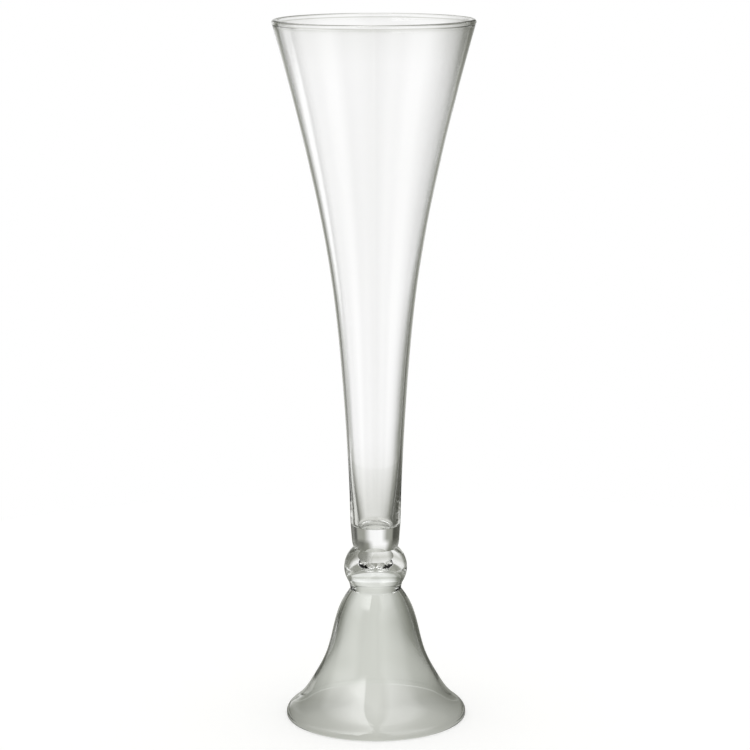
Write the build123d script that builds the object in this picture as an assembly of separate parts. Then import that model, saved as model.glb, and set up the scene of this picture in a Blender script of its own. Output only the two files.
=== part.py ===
"""Trumpet vase of clear blown glass: a trumpet bowl, a solid knop and a hollow bell foot."""

import os

from build123d import *

# Sizes in millimetres. Lengths are stacked upwards from the floor, and radii are of the outside.
# Bell foot: its outline passes through these radii, each a length above the one before
FOOT_RADIUS = 79.0
LIP_LENGTH = 2.4
SKIRT_RADIUS = 72.7
SKIRT_LENGTH = 7.9
FLARE_RADIUS = 56.4
FLARE_LENGTH = 20.5
BODY_RADIUS = 43.6
BODY_LENGTH = 25.1
CROWN_RADIUS = 36.7
CROWN_LENGTH = 26.2
SHOULDER_RADIUS = 30.2
SHOULDER_LENGTH = 19.4
WAIST_RADIUS = 22.25
WAIST_LENGTH = 12.5
SHOULDER_FALL = 1.3

# Bell foot: its wall, heavier towards the crown, and the ring that is ground flat on the round lip
BELL_WALL = 2.8
CROWN_WALL = 3.6
REST_WIDTH = 1.0

# Round bulb over the waist: a domed hollow up to the weld, a little over its widest place, and the solid knop
BULB_SWELL = 5.3
SWELL_LENGTH = 19.75
WELD_LENGTH = 5.0
KNOP_LENGTH = 12.85
SEAT_RADIUS = 19.1
CEILING_RADIUS = 11.0
HOLLOW_RADIUS = 21.6
HOLLOW_LENGTH = 14.0
DOME_RISE = 0.35
WAIST_WALL = 4.0

# Trumpet bowl: its outline passes through these radii, each a length above the one before
FOOTING_RADIUS = 20.7
FOOTING_LENGTH = 6.4
BASE_RADIUS = 22.0
BASE_LENGTH = 17.0
NECK_RADIUS = 22.65
NECK_LENGTH = 28.0
THROAT_RADIUS = 26.3
THROAT_LENGTH = 69.0
BELLY_RADIUS = 37.8
BELLY_LENGTH = 120.0
MOUTH_RADIUS = 57.8
MOUTH_LENGTH = 104.0
RIM_RADIUS = 86.3
RIM_LENGTH = 114.0
BASE_SLOPE = 0.013
RIM_SLOPE = 0.28

# Trumpet bowl: its wall, thin in the flare and heavy at the base and the fire-polished rim
RIM_WALL = 4.5
FLARE_WALL = 2.4
THROAT_WALL = 2.5
NECK_WALL = 3.7
BASE_WALL = 6.3
RIM_SWELL = 0.3
SOLID_BASE = 19.3
FLOOR_ROUND = 3.5
FLOOR_SLOPE = 0.11
INNER_RIM_SLOPE = 0.22


def turned(*edges):
    """Turns a closed half outline, drawn as radius and height, about the upright axis."""
    face = make_face(Curve() + list(edges))
    return revolve(Plane.XZ * face, Axis.Z)


def inside(outline, station, wall):
    """The point on the inner face across the wall from a station on an outline drawn upwards."""
    along = outline.tangent_at(Vector(*station))
    return (station[0] - wall * along.Y, station[1] + wall * along.X)


# Stations of the bell's outside, from the lip to the waist
lip = (FOOT_RADIUS, LIP_LENGTH)
skirt = (SKIRT_RADIUS, lip[1] + SKIRT_LENGTH)
flare = (FLARE_RADIUS, skirt[1] + FLARE_LENGTH)
body = (BODY_RADIUS, flare[1] + BODY_LENGTH)
crown = (CROWN_RADIUS, body[1] + CROWN_LENGTH)
shoulder = (SHOULDER_RADIUS, crown[1] + SHOULDER_LENGTH)
waist = (WAIST_RADIUS, shoulder[1] + WAIST_LENGTH)
bell_outer = Spline(
    lip, skirt, flare, body, crown, shoulder, waist, tangents=((0, 1), (-1, SHOULDER_FALL))
)

# The bulb is one round arc on both sides of its widest place, the equator
equator = (WAIST_RADIUS + BULB_SWELL, waist[1] + SWELL_LENGTH)
seat = (SEAT_RADIUS, equator[1] + WELD_LENGTH + KNOP_LENGTH)
drawn_in = equator[0] - seat[0]
bulb_arc = ((WELD_LENGTH + KNOP_LENGTH) ** 2 + drawn_in**2) / (2 * drawn_in)
bulb_middle = equator[0] - bulb_arc
weld = (bulb_middle + (bulb_arc**2 - WELD_LENGTH**2) ** 0.5, equator[1] + WELD_LENGTH)

# A hollow arc, upright at the waist, meets the bulb's arc smoothly at the blend
across = bulb_arc - BULB_SWELL
waist_arc = (across**2 + SWELL_LENGTH**2 - bulb_arc**2) / (2 * BULB_SWELL)
bulb_part = bulb_arc / (bulb_arc + waist_arc)
blend = (
    bulb_middle + (across + waist_arc) * bulb_part,
    equator[1] - SWELL_LENGTH * bulb_part,
)

# Bell foot
inner_lip = (FOOT_RADIUS - BELL_WALL, LIP_LENGTH)
inner_waist = (WAIST_RADIUS - WAIST_WALL, waist[1])
bell_inner = Spline(
    inner_lip,
    inside(bell_outer, skirt, BELL_WALL),
    inside(bell_outer, flare, BELL_WALL),
    inside(bell_outer, body, BELL_WALL),
    inside(bell_outer, crown, CROWN_WALL),
    inside(bell_outer, shoulder, CROWN_WALL),
    inner_waist,
    tangents=((0, 1), (-1, SHOULDER_FALL)),
)
hollow_side = (HOLLOW_RADIUS, waist[1] + HOLLOW_LENGTH)
ceiling = (CEILING_RADIUS, weld[1])
lip_round = (BELL_WALL - REST_WIDTH) / 2
outer_round = (FOOT_RADIUS, lip_round)
outer_rest = (FOOT_RADIUS - lip_round, 0)
inner_rest = (inner_lip[0] + lip_round, 0)
inner_round = (inner_lip[0], lip_round)
bell_foot = turned(
    bell_outer,
    TangentArc(waist, blend, tangent=(0, 1)),
    TangentArc(equator, blend, tangent=(0, -1)),
    TangentArc(equator, weld, tangent=(0, 1)),
    Line(weld, ceiling),
    Spline(inner_waist, hollow_side, ceiling, tangents=((0, 1), (-1, DOME_RISE))),
    bell_inner,
    Line(inner_lip, inner_round),
    TangentArc(inner_rest, inner_round, tangent=(-1, 0)),
    Line(inner_rest, outer_rest),
    TangentArc(outer_rest, outer_round, tangent=(1, 0)),
    Line(outer_round, lip),
)

# Knop, whose flat underside closes the bell's hollow
knop = turned(
    Line((0, weld[1]), weld),
    TangentArc(weld, seat, tangent=(-WELD_LENGTH, weld[0] - bulb_middle)),
    Line(seat, (0, seat[1])),
    Line((0, seat[1]), (0, weld[1])),
)

# Stations of the bowl's outside, from the seat to the bead of the rim
footing = (FOOTING_RADIUS, seat[1] + FOOTING_LENGTH)
base = (BASE_RADIUS, footing[1] + BASE_LENGTH)
neck = (NECK_RADIUS, base[1] + NECK_LENGTH)
throat = (THROAT_RADIUS, neck[1] + THROAT_LENGTH)
belly = (BELLY_RADIUS, throat[1] + BELLY_LENGTH)
mouth = (MOUTH_RADIUS, belly[1] + MOUTH_LENGTH)
bead_round = RIM_WALL / 2 + RIM_SWELL
bead_top = (RIM_RADIUS - bead_round, mouth[1] + RIM_LENGTH)
bead_foot = bead_top[1] - bead_round - (bead_round**2 - (RIM_WALL / 2) ** 2) ** 0.5
rim = (bead_top[0] + RIM_WALL / 2, bead_foot)
bowl_outer = Spline(
    base, neck, throat, belly, mouth, rim, tangents=((BASE_SLOPE, 1), (RIM_SLOPE, 1))
)

# Trumpet bowl
floor_height = seat[1] + SOLID_BASE
wall_way = Vector(FLOOR_SLOPE, 1).normalized()
inner_base = (BASE_RADIUS - BASE_WALL, floor_height + FLOOR_ROUND * (1 - wall_way.X))
floor_edge = (inner_base[0] - FLOOR_ROUND * wall_way.Y, floor_height)
inner_rim = (bead_top[0] - RIM_WALL / 2, bead_foot)
bowl_inner = Spline(
    inner_base,
    inside(bowl_outer, neck, NECK_WALL),
    inside(bowl_outer, throat, THROAT_WALL),
    inside(bowl_outer, belly, FLARE_WALL),
    inside(bowl_outer, mouth, FLARE_WALL),
    inner_rim,
    tangents=(wall_way, (INNER_RIM_SLOPE, 1)),
)
trumpet_bowl = turned(
    Line((0, seat[1]), seat),
    TangentArc(footing, seat, tangent=(footing[0] - base[0], footing[1] - base[1])),
    Line(footing, base),
    bowl_outer,
    ThreePointArc(rim, bead_top, inner_rim),
    bowl_inner,
    TangentArc(inner_base, floor_edge, tangent=-wall_way),
    Line(floor_edge, (0, floor_height)),
    Line((0, floor_height), (0, seat[1])),
)

os.makedirs("parts", exist_ok=True)
export_step(trumpet_bowl, "parts/trumpet_bowl.step")
export_step(knop, "parts/knop.step")
export_step(bell_foot, "parts/bell_foot.step")
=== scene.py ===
import math

import bmesh
import bpy
import numpy as np
from bpy.props import FloatProperty, FloatVectorProperty, IntProperty, PointerProperty
from mathutils import Matrix, Vector


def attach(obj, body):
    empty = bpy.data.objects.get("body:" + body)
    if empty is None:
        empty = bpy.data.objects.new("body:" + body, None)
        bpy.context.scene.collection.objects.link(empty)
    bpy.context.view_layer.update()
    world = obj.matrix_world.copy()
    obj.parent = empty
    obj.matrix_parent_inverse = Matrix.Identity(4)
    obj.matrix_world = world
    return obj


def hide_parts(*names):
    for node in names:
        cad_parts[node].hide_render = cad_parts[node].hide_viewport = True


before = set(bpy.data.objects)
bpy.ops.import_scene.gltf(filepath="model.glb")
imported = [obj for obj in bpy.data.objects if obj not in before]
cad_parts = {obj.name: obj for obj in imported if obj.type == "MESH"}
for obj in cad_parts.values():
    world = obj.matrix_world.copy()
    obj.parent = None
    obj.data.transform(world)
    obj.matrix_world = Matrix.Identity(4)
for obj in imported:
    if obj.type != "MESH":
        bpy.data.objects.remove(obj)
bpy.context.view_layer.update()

bl_info = {
    "name": "Blown glass trumpet vase",
    "version": (1, 0, 0),
    "blender": (4, 5, 0),
    "location": "3D View > Sidebar > Trumpet vase",
    "description": "Makes a clear glass trumpet vase on a knop and a hollow bell foot",
    "category": "Object",
}

MM = 0.001

# Outlines: steps along each piece of one, the distance at which points become one, how near a welded face is
# to its height, the angle that stays sharp, and steps around the floor
FOOT_DETAIL = 14
KNOP_DETAIL = 24
BOWL_DETAIL = 22
MERGE_DISTANCE = 0.002 * MM
WELD_DISTANCE = 0.01 * MM
CREASE = math.radians(35)
FLOOR_STEPS = 96

# Glass: how much it bends light, how its ripples show, and the material slot of a welded face
GLASS_IOR = 1.52
RIPPLE_STRENGTH = 0.12
RIPPLE_DEPTH = 0.4 * MM
SEAM_SLOT = 1

# Stage: light on matt surfaces, the glow that lifts the floor to white for the camera, the camera's sensor in
# millimetres, and how often light may meet a surface
EVEN_LIGHT = 0.8
FLOOR_GLOW = 0.4
SENSOR_WIDTH = 36.0
GLASS_BOUNCES = 32
GLOSSY_BOUNCES = 16


def linear(code):
    """Turns an sRGB hex colour into linear red, green, blue and alpha."""
    parts = [int(code[i:i + 2], 16) / 255 for i in (1, 3, 5)]
    return (*(p / 12.92 if p <= 0.04045 else ((p + 0.055) / 1.055) ** 2.4 for p in parts), 1.0)


WHITE = linear("#FFFFFF")


def size(name, description, millimetres):
    """A length property, given in millimetres."""
    return FloatProperty(name=name, description=description, default=millimetres * MM,
                         unit="LENGTH", precision=4)


def station(name, description, radius, height):
    """A property for a point that an outline passes through: its radius, and its height over the floor."""
    return FloatVectorProperty(name=name, description=description, size=2, unit="LENGTH", precision=4,
                               default=(radius * MM, height * MM))


def colour(name, description, code):
    """A colour property, given as an sRGB hex value."""
    return FloatVectorProperty(name=name, description=description, size=4, subtype="COLOR",
                               min=0.0, max=1.0, default=linear(code))


class BellFootSizes(bpy.types.PropertyGroup):
    """Sizes of the hollow bell foot and of the lower part of the bulb over it."""

    lip: station("Lip", "Foot's outer edge, over the rounding of the lip", 79.0, 2.4)
    skirt: station("Skirt", "Outside just above the lip", 72.7, 10.3)
    flare: station("Flare", "Outside where the skirt turns up", 56.4, 30.8)
    body: station("Body", "Outside at the middle of the bell", 43.6, 55.9)
    crown: station("Crown", "Outside below the shoulder", 36.7, 82.1)
    shoulder: station("Shoulder", "Outside where the bell turns in", 30.2, 101.5)
    waist: station("Waist", "Crease between the bell and the bulb", 22.25, 114.0)
    equator: station("Equator", "Bulb's widest place", 27.55, 133.75)
    hollow: station("Hollow", "Widest place of the hollow in the bulb", 21.6, 128.0)
    ceiling: station("Ceiling", "Edge of the hollow at the weld, where the knop closes it", 11.0, 138.75)
    shoulder_fall: FloatProperty(name="Shoulder fall", default=1.3,
                                 description="Rise for each unit inwards where the shoulder meets the crease")
    dome_rise: FloatProperty(name="Dome rise", default=0.35,
                             description="Rise for each unit inwards where the hollow's dome meets the weld")
    wall: size("Wall", "Thickness of the bell's wall", 2.8)
    crown_wall: size("Crown wall", "Thickness of the wall at the crown and shoulder", 3.6)
    rest_width: size("Rest width", "Width of the ring ground flat under the lip", 1.0)
    waist_wall: size("Waist wall", "Thickness of the wall at the crease", 4.0)


class KnopSizes(bpy.types.PropertyGroup):
    """Sizes of the solid knop."""

    seat: station("Seat", "Edge of the disc where the bowl is welded on", 19.1, 151.6)


class BowlSizes(bpy.types.PropertyGroup):
    """Sizes of the trumpet bowl."""

    footing: station("Footing", "Outside just above the weld", 20.7, 158.0)
    base: station("Base", "Outside where the straight base ends", 22.0, 175.0)
    neck: station("Neck", "Outside at the slender neck", 22.65, 203.0)
    throat: station("Throat", "Outside where the trumpet starts to open", 26.3, 272.0)
    belly: station("Belly", "Outside below the middle of the flare", 37.8, 392.0)
    mouth: station("Mouth", "Outside above the middle of the flare", 57.8, 496.0)
    rim: station("Rim", "Widest radius of the rim's bead, and the height of its top", 86.3, 610.0)
    base_slope: FloatProperty(name="Base slope", default=0.013,
                              description="Radius gained for each unit of rise at the base")
    rim_slope: FloatProperty(name="Rim slope", default=0.28,
                             description="Radius gained for each unit of rise at the rim")
    inner_rim_slope: FloatProperty(name="Inner rim slope", default=0.22,
                                   description="Radius gained for each unit of rise inside the rim")
    floor_slope: FloatProperty(name="Floor slope", default=0.11,
                               description="Radius gained for each unit of rise just above the floor")
    rim_wall: size("Rim wall", "Thickness of the wall under the bead of the rim", 4.5)
    flare_wall: size("Flare wall", "Thickness of the wall at the belly and the mouth", 2.4)
    throat_wall: size("Throat wall", "Thickness of the wall at the throat", 2.5)
    neck_wall: size("Neck wall", "Thickness of the wall at the neck", 3.7)
    base_wall: size("Base wall", "Thickness of the wall beside the floor", 6.3)
    rim_swell: size("Rim swell", "How far the fire-polished bead stands proud of the wall", 0.3)
    solid_base: size("Solid base", "Thickness of the glass under the bowl's floor", 19.3)
    floor_round: size("Floor round", "Radius of the corner between floor and wall", 3.5)


class GlassLook(bpy.types.PropertyGroup):
    """Colours and surface of the glass."""

    bowl_tint: colour("Bowl tint", "Colour that the bowl's glass gives to light through it", "#FFFFFF")
    knop_tint: colour("Knop tint", "Colour that the knop's glass gives to light through it", "#FFFFFF")
    foot_tint: colour("Foot tint", "Colour that the foot's glass gives to light through it", "#FDFEFD")
    ripple: size("Ripple", "Width of the ripples that blowing leaves in the surface", 34.0)
    steps: IntProperty(name="Steps", description="Steps in a full turn of an outline", default=160, min=32)


class StageLook(bpy.types.PropertyGroup):
    """Floor, light and camera."""

    floor_radius: size("Floor radius", "Radius of the pale floor", 800.0)
    floor_colour: colour("Floor colour", "Colour of the matt floor", "#E6E6E4")
    dim_tint: colour("Dim tint", "Tint of the studio's light where it is dim", "#FCFFEA")
    camera_way: FloatVectorProperty(name="Camera place", description="Where the camera stands", size=3,
                                    subtype="TRANSLATION", default=(0.0, -2.1876, 0.7469))
    camera_tilt: FloatProperty(name="Camera tilt", description="How far the camera looks down",
                               subtype="ANGLE", default=math.radians(11.426))
    camera_roll: FloatProperty(name="Camera roll", subtype="ANGLE", default=math.radians(-0.19),
                               description="Turn of the camera about its own line of sight")
    focal_length: FloatProperty(name="Focal length", description="Lens in millimetres on a 36 mm sensor",
                                default=124.07)


class VaseSettings(bpy.types.PropertyGroup):
    """Everything about the vase that a user may change."""

    foot: PointerProperty(type=BellFootSizes)
    knop: PointerProperty(type=KnopSizes)
    bowl: PointerProperty(type=BowlSizes)
    glass: PointerProperty(type=GlassLook)
    stage: PointerProperty(type=StageLook)


# Outlines: each piece of one is a cubic with two ends and two handles, as radius and height


def unit(way):
    """A direction of length one."""
    return np.array(way) / np.linalg.norm(way)


def straight(start, end):
    """A straight piece."""
    start, end = np.array(start), np.array(end)
    return [(start, start + (end - start) / 3, end - (end - start) / 3, end)]


def arc(start, end, way):
    """A round piece that leaves its start in the given direction."""
    start, end, way = np.array(start), np.array(end), unit(way)
    chord = np.linalg.norm(end - start)
    across = (end - start) / chord
    half_turn = math.acos(way @ across)
    handle = chord / (2 * math.sin(half_turn)) * 4 / 3 * math.tan(half_turn / 2)
    end_way = 2 * (way @ across) * across - way
    return [(start, start + way * handle, end - end_way * handle, end)]


def smooth(stations, start_way, end_way):
    """The pieces of an even curve through stations, with the direction it has at both ends."""
    points = np.array(stations)
    spans = np.linalg.norm(np.diff(points, axis=0), axis=1)
    last = len(points) - 1
    rows = np.eye(last + 1)
    ways = np.zeros((last + 1, 2))
    ways[0], ways[last] = unit(start_way), unit(end_way)
    for i in range(1, last):
        before, after = spans[i - 1], spans[i]
        rows[i, i - 1:i + 2] = after, 2 * (before + after), before
        ways[i] = 3 * (after * (points[i] - points[i - 1]) / before
                       + before * (points[i + 1] - points[i]) / after)
    ways = np.linalg.solve(rows, ways)
    return [(points[i], points[i] + ways[i] * spans[i] / 3, points[i + 1] - ways[i + 1] * spans[i] / 3,
             points[i + 1]) for i in range(last)]


def inside(pieces, index, wall):
    """The point across the wall from a station of an outline that was drawn upwards."""
    place, handle = pieces[index][0], pieces[index][1]
    way = unit(handle - place)
    return np.array((place[0] - wall * way[1], place[1] + wall * way[0]))


def backwards(pieces):
    """The same pieces, drawn the other way."""
    return [tuple(reversed(piece)) for piece in reversed(pieces)]


def turned(pieces, steps, detail):
    """Spins a half outline, which starts and ends on the axis or at one point, into a closed mesh."""
    line = bpy.data.curves.new("outline", "CURVE")
    line.dimensions = "3D"
    spline = line.splines.new("BEZIER")
    spline.bezier_points.add(len(pieces))
    spline.resolution_u = detail
    for point in spline.bezier_points:
        point.handle_left_type = point.handle_right_type = "FREE"
    for piece, point, after in zip(pieces, spline.bezier_points, spline.bezier_points[1:]):
        point.co, point.handle_right, after.handle_left, after.co = (Vector((r, 0.0, z)) for r, z in piece)
    drawn = bpy.data.objects.new("outline", line)
    wire = bpy.data.meshes.new_from_object(drawn)
    bm = bmesh.new()
    bm.from_mesh(wire)
    bpy.data.objects.remove(drawn)
    bpy.data.curves.remove(line)
    bpy.data.meshes.remove(wire)
    bmesh.ops.spin(bm, geom=bm.verts[:] + bm.edges[:], cent=(0, 0, 0), axis=(0, 0, 1), dvec=(0, 0, 0),
                   angle=math.tau, steps=steps, use_merge=True, use_duplicate=False)
    bmesh.ops.remove_doubles(bm, verts=bm.verts[:], dist=MERGE_DISTANCE)
    bmesh.ops.recalc_face_normals(bm, faces=bm.faces[:])
    return bm


def piece_from(bm, name, materials):
    """Makes an object of a mesh, smooth apart from its creases."""
    for face in bm.faces:
        face.smooth = True
    for edge in bm.edges:
        edge.smooth = edge.calc_face_angle(0.0) < CREASE
    mesh = bpy.data.meshes.new(name)
    bm.to_mesh(mesh)
    bm.free()
    made = bpy.data.objects.new(name, mesh)
    bpy.context.collection.objects.link(made)
    for material in materials:
        mesh.materials.append(material)
    return made


def weld(bm, height, inner, outer):
    """Gives the welded face at a height, between two radii, the seam's material."""
    for face in bm.faces:
        centre = face.calc_center_median()
        if abs(centre.z - height) < WELD_DISTANCE and inner < math.hypot(centre.x, centre.y) < outer:
            face.material_index = SEAM_SLOT


def bulb(foot, seat):
    """The radius of the bulb's round arc, the arc's middle, and the edge of the weld on it."""
    drawn_in, rise = foot.equator[0] - seat[0], seat[1] - foot.equator[1]
    radius = (rise**2 + drawn_in**2) / (2 * drawn_in)
    middle, height = foot.equator[0] - radius, foot.ceiling[1]
    return radius, middle, (middle + math.sqrt(radius**2 - (height - foot.equator[1])**2), height)


def dressed(made, cad_node):
    """Puts a finished piece in the frame in place of the CAD node that it stands for."""
    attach(made, "root")
    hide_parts(cad_node)


# Materials


def node(tree, kind, sockets=None, **settings):
    """Adds a node with its settings, and fills its inputs with values or with the outputs of other nodes."""
    made = tree.nodes.new(kind)
    for key, value in settings.items():
        setattr(made, key, value)
    for key, value in (sockets or {}).items():
        if isinstance(value, bpy.types.NodeSocket):
            tree.links.new(value, made.inputs[key])
        else:
            made.inputs[key].default_value = value
    return made


def new_tree(data):
    """The empty node tree of a new material or world."""
    data.use_nodes = True
    data.node_tree.nodes.clear()
    return data.node_tree


def blown_glass(name, tint, ripple):
    """Clear soda-lime glass, blown and fire-polished.

    The eye sees straight through it, with dark and bright lines where the wall turns away, and soft ripples
    in the lines from the blowing.
    """
    material = bpy.data.materials.new(name)
    tree = new_tree(material)
    place = node(tree, "ShaderNodeTexCoord").outputs["Object"]
    waves = node(tree, "ShaderNodeTexNoise", {"Vector": place, "Scale": 1 / ripple, "Detail": 1.0})
    bump = node(tree, "ShaderNodeBump", {
        "Height": waves.outputs["Fac"], "Strength": RIPPLE_STRENGTH, "Distance": RIPPLE_DEPTH})
    glass = node(tree, "ShaderNodeBsdfPrincipled", {
        "Base Color": tint, "Roughness": 0.0, "IOR": GLASS_IOR, "Transmission Weight": 1.0,
        "Normal": bump.outputs["Normal"]})
    node(tree, "ShaderNodeOutputMaterial", {"Surface": glass.outputs["BSDF"]})
    return material


def welded_seam():
    """Glass welded to glass while hot. The eye sees nothing of it, because light goes straight on."""
    material = bpy.data.materials.get("welded_glass_seam")
    if material:
        return material
    material = bpy.data.materials.new("welded_glass_seam")
    tree = new_tree(material)
    seam = node(tree, "ShaderNodeBsdfPrincipled", {
        "Base Color": WHITE, "Roughness": 0.0, "Alpha": 0.0})
    node(tree, "ShaderNodeOutputMaterial", {"Surface": seam.outputs["BSDF"]})
    return material


class VASE_OT_bell_foot(bpy.types.Operator):
    """Makes the hollow bell foot with the lower part of the bulb"""

    bl_idname = "vase.bell_foot"
    bl_label = "Bell foot"

    def execute(self, context):
        vase = context.scene.vase
        foot = vase.foot
        outer = smooth((foot.lip, foot.skirt, foot.flare, foot.body, foot.crown, foot.shoulder, foot.waist),
                       (0, 1), (-1, foot.shoulder_fall))
        inner_lip = (foot.lip[0] - foot.wall, foot.lip[1])
        inner_waist = (foot.waist[0] - foot.waist_wall, foot.waist[1])
        walls = (foot.wall, foot.wall, foot.wall, foot.crown_wall, foot.crown_wall)
        lining = [inside(outer, i, wall) for i, wall in enumerate(walls, 1)]
        inner = smooth((inner_lip, *lining, inner_waist), (0, 1), (-1, foot.shoulder_fall))
        bulb_arc, middle, edge = bulb(foot, vase.knop.seat)
        swell, fall = foot.equator[0] - foot.waist[0], foot.equator[1] - foot.waist[1]
        across = bulb_arc - swell
        waist_arc = (across**2 + fall**2 - bulb_arc**2) / (2 * swell)
        share = bulb_arc / (bulb_arc + waist_arc)
        blend = (middle + (across + waist_arc) * share, foot.equator[1] - fall * share)
        hollow = smooth((inner_waist, foot.hollow, foot.ceiling), (0, 1), (-1, foot.dome_rise))
        lip_round = (foot.wall - foot.rest_width) / 2
        pieces = [
            *outer,
            *arc(foot.waist, blend, (0, 1)),
            *backwards(arc(foot.equator, blend, (0, -1))),
            *arc(foot.equator, edge, (0, 1)),
            *straight(edge, foot.ceiling),
            *backwards(hollow),
            *backwards(inner),
            *straight(inner_lip, (inner_lip[0], lip_round)),
            *arc((inner_lip[0], lip_round), (inner_lip[0] + lip_round, 0), (0, -1)),
            *straight((inner_lip[0] + lip_round, 0), (foot.lip[0] - lip_round, 0)),
            *arc((foot.lip[0] - lip_round, 0), (foot.lip[0], lip_round), (1, 0)),
            *straight((foot.lip[0], lip_round), foot.lip),
        ]
        bm = turned(pieces, vase.glass.steps, FOOT_DETAIL)
        weld(bm, edge[1], foot.ceiling[0], edge[0])
        glass = blown_glass("blown_glass_foot", vase.glass.foot_tint, vase.glass.ripple)
        dressed(piece_from(bm, "bell_foot_glass", (glass, welded_seam())), "bell_foot")
        return {"FINISHED"}


class VASE_OT_knop(bpy.types.Operator):
    """Makes the solid knop, the upper part of the bulb"""

    bl_idname = "vase.knop"
    bl_label = "Knop"

    def execute(self, context):
        vase = context.scene.vase
        foot, knop = vase.foot, vase.knop
        middle, edge = bulb(foot, knop.seat)[1:]
        under, top = edge[1], knop.seat[1]
        pieces = [
            *straight((0, under), foot.ceiling),
            *straight(foot.ceiling, edge),
            *arc(edge, knop.seat, (foot.equator[1] - under, edge[0] - middle)),
            *straight(knop.seat, (0, top)),
        ]
        bm = turned(pieces, vase.glass.steps, KNOP_DETAIL)
        weld(bm, under, foot.ceiling[0], edge[0])
        weld(bm, top, 0.0, knop.seat[0])
        glass = blown_glass("blown_glass_knop", vase.glass.knop_tint, vase.glass.ripple)
        dressed(piece_from(bm, "knop_glass", (glass, welded_seam())), "knop")
        return {"FINISHED"}


class VASE_OT_trumpet_bowl(bpy.types.Operator):
    """Makes the trumpet bowl with its heavy base and fire-polished rim"""

    bl_idname = "vase.trumpet_bowl"
    bl_label = "Trumpet bowl"

    def execute(self, context):
        vase = context.scene.vase
        bowl, seat = vase.bowl, vase.knop.seat
        half_wall = bowl.rim_wall / 2
        bead = half_wall + bowl.rim_swell
        bead_top = (bowl.rim[0] - bead, bowl.rim[1])
        bead_foot = bead_top[1] - bead - math.sqrt(bead**2 - half_wall**2)
        rim, inner_rim = (bead_top[0] + half_wall, bead_foot), (bead_top[0] - half_wall, bead_foot)
        outer = smooth((bowl.base, bowl.neck, bowl.throat, bowl.belly, bowl.mouth, rim),
                       (bowl.base_slope, 1), (bowl.rim_slope, 1))
        floor = seat[1] + bowl.solid_base
        wall_way = unit((bowl.floor_slope, 1))
        inner_base = (bowl.base[0] - bowl.base_wall, floor + bowl.floor_round * (1 - wall_way[0]))
        floor_edge = (inner_base[0] - bowl.floor_round * wall_way[1], floor)
        walls = (bowl.neck_wall, bowl.throat_wall, bowl.flare_wall, bowl.flare_wall)
        lining = [inside(outer, i, wall) for i, wall in enumerate(walls, 1)]
        inner = smooth((inner_base, *lining, inner_rim), wall_way, (bowl.inner_rim_slope, 1))
        footing_way = np.array(bowl.footing) - np.array(bowl.base)
        pieces = [
            *straight((0, seat[1]), seat),
            *backwards(arc(bowl.footing, seat, footing_way)),
            *straight(bowl.footing, bowl.base),
            *outer,
            *backwards(arc(bead_top, rim, (1, 0))),
            *arc(bead_top, inner_rim, (-1, 0)),
            *backwards(inner),
            *arc(inner_base, floor_edge, -wall_way),
            *straight(floor_edge, (0, floor)),
        ]
        bm = turned(pieces, vase.glass.steps, BOWL_DETAIL)
        weld(bm, seat[1], 0.0, seat[0])
        glass = blown_glass("blown_glass_bowl", vase.glass.bowl_tint, vase.glass.ripple)
        dressed(piece_from(bm, "trumpet_bowl_glass", (glass, welded_seam())), "trumpet_bowl")
        return {"FINISHED"}


def dimmed(level, dim):
    """The colour of light at a level: neutral when bright, and tinted like the dim studio below that."""
    share = min(level, 1.0)
    return (*(level * (part + (1 - part) * share) for part in dim[:3]), 1.0)


def set_stops(ramp, stops, dim):
    """Gives a colour ramp its levels of light, each at a bearing in degrees."""
    while len(ramp.elements) > 1:
        ramp.elements.remove(ramp.elements[-1])
    for bearing, level in stops[1:]:
        ramp.elements.new((bearing + 180) / 360).color = dimmed(level, dim)
    ramp.elements[0].position = 0.0
    ramp.elements[0].color = dimmed(stops[0][1], dim)


def bearing_of(tree, vector):
    """The bearing of a vector, from 0 to 1 around a full turn that starts in front of the vase."""
    split = node(tree, "ShaderNodeSeparateXYZ", {"Vector": vector}).outputs
    angle = node(tree, "ShaderNodeMath", {0: split["X"], 1: split["Y"]}, operation="ARCTAN2")
    return node(tree, "ShaderNodeMapRange", {
        "Value": angle.outputs[0], "From Min": -math.pi, "From Max": math.pi}).outputs["Result"]


def light_levels(tree, place, bearing, bands, dim):
    """Light that changes with the bearing, and with the place from one band to the next."""
    seen, before = None, None
    for start, stops in bands:
        band = node(tree, "ShaderNodeValToRGB", {"Fac": bearing})
        set_stops(band.color_ramp, stops, dim)
        level = band.outputs["Color"]
        if seen:
            share = node(tree, "ShaderNodeMapRange", {"Value": place, "From Min": before, "From Max": start})
            level = node(tree, "ShaderNodeMix", {"Factor": share.outputs["Result"], "A": seen, "B": level},
                         data_type="RGBA").outputs["Result"]
        seen, before = level, start
    return seen


def through_glass(tree):
    """One for rays that have met glass, and zero for others."""
    ray = node(tree, "ShaderNodeLightPath").outputs
    return node(tree, "ShaderNodeMath", {0: ray["Is Glossy Ray"], 1: ray["Is Transmission Ray"]},
                operation="MAXIMUM").outputs[0]


def around(panels, level, gap, front):
    """Levels of light all around: soft white panels, dim gaps between them, and the front of the room."""
    stops = [(bearing, max(share * level, gap)) for panel in panels for bearing, share in panel]
    return ((-180, front), *stops, (180, front))


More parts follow.
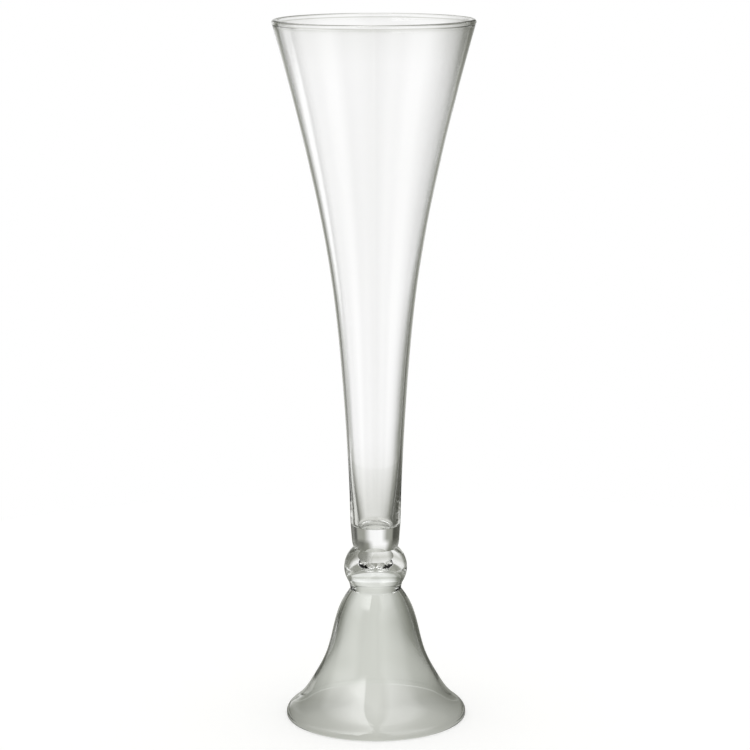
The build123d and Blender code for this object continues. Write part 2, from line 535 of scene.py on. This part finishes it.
# Soft white panels of the studio that glass sees, from left to right: bearings in degrees to the right of
# straight behind the vase, each with the share of the panel's light there
LEFT = ((-140, 0), (-125, 1), (-85, 1), (-70, 0))
LOW_LEFT = ((-67, 0), (-61, 1), (-40, 1), (-34, 0))
WALL_LEFT = ((-66, 0), (-63, 1.8), (-51, 1.8), (-46, 1), (-40, 1), (-34, 0))
LOW_BACK = ((-27, 0), (-21, 0.3), (-8, 1), (2, 1), (15, 0.3), (21, 0))
MIDDLE_BACK = ((-37, 0), (-32, 0.3), (-18, 0.3), (-8, 1), (2, 1), (12, 0.3), (36, 0.3), (41, 0))
BACK = ((-37, 0), (-32, 0.3), (-20, 0.3), (-10, 1), (8, 1), (20, 0.3), (36, 0.3), (41, 0))
HIGH_BACK = ((-37, 0), (-27, 0.3), (-17, 1), (3, 1), (13, 0.3), (23, 0))
RIGHT = ((93, 0), (113, 1), (157, 1), (177, 0))
# A pool of light painted on the floor round the foot, as shares at bearings like the panels
PAINTED_POOL = ((-76, 0), (-60, 0.3), (-20, 1), (4, 1), (50, 0.3), (66, 0))

# A soft box over the front at the left, and a weaker one at the right
SOFT_BOX = ((-158, 0), (-155, 1), (-138, 1), (-75, 0))
FILL = ((75, 0), (105, 0.55), (150, 0.55), (165, 0))

# Bands that are used twice: panels, their level of light, the level of the gaps and the level of the front
LOW = around((LEFT, LOW_LEFT, LOW_BACK, RIGHT), 0.9, 0.1, 0.5)
WALL = around((LEFT, WALL_LEFT, LOW_BACK, RIGHT), 0.9, 0.1, 0.5)
HIGH = around((LEFT, HIGH_BACK, RIGHT), 0.9, 0.2, 0.4)

# Light at heights in degrees over the horizon, and painted light and shade on the floor at metres from the
# vase's axis, which only glass sees: a pool of light round the foot, dimmer to the sides
STUDIO = (
    (-24, LOW),
    (-21, WALL),
    (-17, WALL),
    (-13, around((LEFT, MIDDLE_BACK, RIGHT), 1.0, 0.05, 0.5)),
    (-10, around((LEFT, BACK, RIGHT), 1.0, 0.05, 0.5)),
    (-3, around((LEFT, HIGH_BACK, RIGHT), 1.0, 0.12, 0.5)),
    (14, around((LEFT, HIGH_BACK, RIGHT), 0.6, 0.2, 0.4)),
    (25, HIGH),
    (32, HIGH),
    (36, around((SOFT_BOX, FILL), 2.5, 0.3, 0.4)),
)
FLOOR_PAINTED_LIGHT = (
    (0.0, around((), 0.0, 0.0, 0.7)),
    (0.1, around((PAINTED_POOL,), 0.68, 0.15, 0.5)),
    (0.3, around((LEFT, LOW_LEFT, LOW_BACK, RIGHT), 0.68, 0.1, 0.5)),
    (0.8, LOW),
)


def studio_world(dim):
    """White to the camera, even to matt surfaces, and soft white panels in a dim studio to glass."""
    world = bpy.data.worlds.new("white_studio")
    tree = new_tree(world)
    way = node(tree, "ShaderNodeTexCoord").outputs["Generated"]
    up = node(tree, "ShaderNodeSeparateXYZ", {"Vector": way}).outputs["Z"]
    slope = node(tree, "ShaderNodeMath", {0: up}, operation="ARCSINE")
    height = node(tree, "ShaderNodeMath", {0: slope.outputs[0]}, operation="DEGREES").outputs[0]
    seen = light_levels(tree, height, bearing_of(tree, way), STUDIO, dim)
    even = node(tree, "ShaderNodeBackground", {"Color": WHITE, "Strength": EVEN_LIGHT})
    studio = node(tree, "ShaderNodeBackground", {"Color": seen, "Strength": 1.0})
    white = node(tree, "ShaderNodeBackground", {"Color": WHITE, "Strength": 1.0})
    lit = node(tree, "ShaderNodeMixShader", {
        0: through_glass(tree), 1: even.outputs[0], 2: studio.outputs[0]})
    camera = node(tree, "ShaderNodeLightPath").outputs["Is Camera Ray"]
    shown = node(tree, "ShaderNodeMixShader", {0: camera, 1: lit.outputs[0], 2: white.outputs[0]})
    node(tree, "ShaderNodeOutputWorld", {"Surface": shown.outputs[0]})
    return world


def matt_floor(tint, dim):
    """Matt white card. To the camera it glows up to white, so only the vase's soft shadow shows on it; to
    glass it glows instead with painted light and shade, a pool of light round the foot that is dimmer to the
    sides.
    """
    material = bpy.data.materials.new("matt_white_card")
    tree = new_tree(material)
    place = node(tree, "ShaderNodeTexCoord").outputs["Object"]
    distance = node(tree, "ShaderNodeVectorMath", {0: place}, operation="LENGTH").outputs["Value"]
    seen = light_levels(tree, distance, bearing_of(tree, place), FLOOR_PAINTED_LIGHT, dim)
    camera = node(tree, "ShaderNodeLightPath").outputs["Is Camera Ray"]
    glow = node(tree, "ShaderNodeMath", {0: camera, 1: FLOOR_GLOW}, operation="MULTIPLY")
    card = node(tree, "ShaderNodeBsdfDiffuse", {"Color": tint})
    light = node(tree, "ShaderNodeEmission", {"Color": WHITE, "Strength": glow.outputs[0]})
    both = node(tree, "ShaderNodeAddShader", {0: card.outputs[0], 1: light.outputs[0]})
    # Painted light and shade on the floor, which glass sees in place of the card's real shading
    lit = node(tree, "ShaderNodeEmission", {"Color": seen, "Strength": 1.0})
    shown = node(tree, "ShaderNodeMixShader", {
        0: through_glass(tree), 1: both.outputs[0], 2: lit.outputs[0]})
    node(tree, "ShaderNodeOutputMaterial", {"Surface": shown.outputs[0]})
    return material


class VASE_OT_stage(bpy.types.Operator):
    """Makes the pale floor, the studio light and the camera"""

    bl_idname = "vase.stage"
    bl_label = "Stage"

    def execute(self, context):
        scene = context.scene
        look = scene.vase.stage
        bm = bmesh.new()
        bmesh.ops.create_circle(bm, cap_ends=True, segments=FLOOR_STEPS, radius=look.floor_radius)
        floor = piece_from(bm, "floor", (matt_floor(look.floor_colour, look.dim_tint),))
        scene.world = studio_world(look.dim_tint)
        lens = bpy.data.cameras.new("camera")
        lens.sensor_width = SENSOR_WIDTH
        lens.lens = look.focal_length
        camera = bpy.data.objects.new("camera", lens)
        camera.matrix_world = (Matrix.Translation(look.camera_way)
                               @ Matrix.Rotation(math.pi / 2 - look.camera_tilt, 4, "X")
                               @ Matrix.Rotation(look.camera_roll, 4, "Z"))
        scene.collection.objects.link(camera)
        scene.camera = camera
        scene.view_settings.view_transform = "Standard"
        scene.cycles.max_bounces = GLASS_BOUNCES
        scene.cycles.transmission_bounces = GLASS_BOUNCES
        scene.cycles.glossy_bounces = GLOSSY_BOUNCES
        scene.cycles.transparent_max_bounces = GLASS_BOUNCES
        return {"FINISHED"}


class VASE_PT_sidebar(bpy.types.Panel):
    """Lists the steps that make the vase"""

    bl_label = "Trumpet vase"
    bl_idname = "VASE_PT_sidebar"
    bl_space_type = "VIEW_3D"
    bl_region_type = "UI"
    bl_category = "Trumpet vase"

    def draw(self, context):
        for step in STEPS:
            self.layout.operator(step.bl_idname)


STEPS = (VASE_OT_bell_foot, VASE_OT_knop, VASE_OT_trumpet_bowl, VASE_OT_stage)
CLASSES = (BellFootSizes, KnopSizes, BowlSizes, GlassLook, StageLook, VaseSettings, *STEPS, VASE_PT_sidebar)


def register():
    for cls in CLASSES:
        bpy.utils.register_class(cls)
    bpy.types.Scene.vase = PointerProperty(type=VaseSettings)


def unregister():
    del bpy.types.Scene.vase
    for cls in reversed(CLASSES):
        bpy.utils.unregister_class(cls)


def main():
    register()
    bpy.ops.vase.bell_foot()
    bpy.ops.vase.knop()
    bpy.ops.vase.trumpet_bowl()
    bpy.ops.vase.stage()


if __name__ == "__main__":
    main()
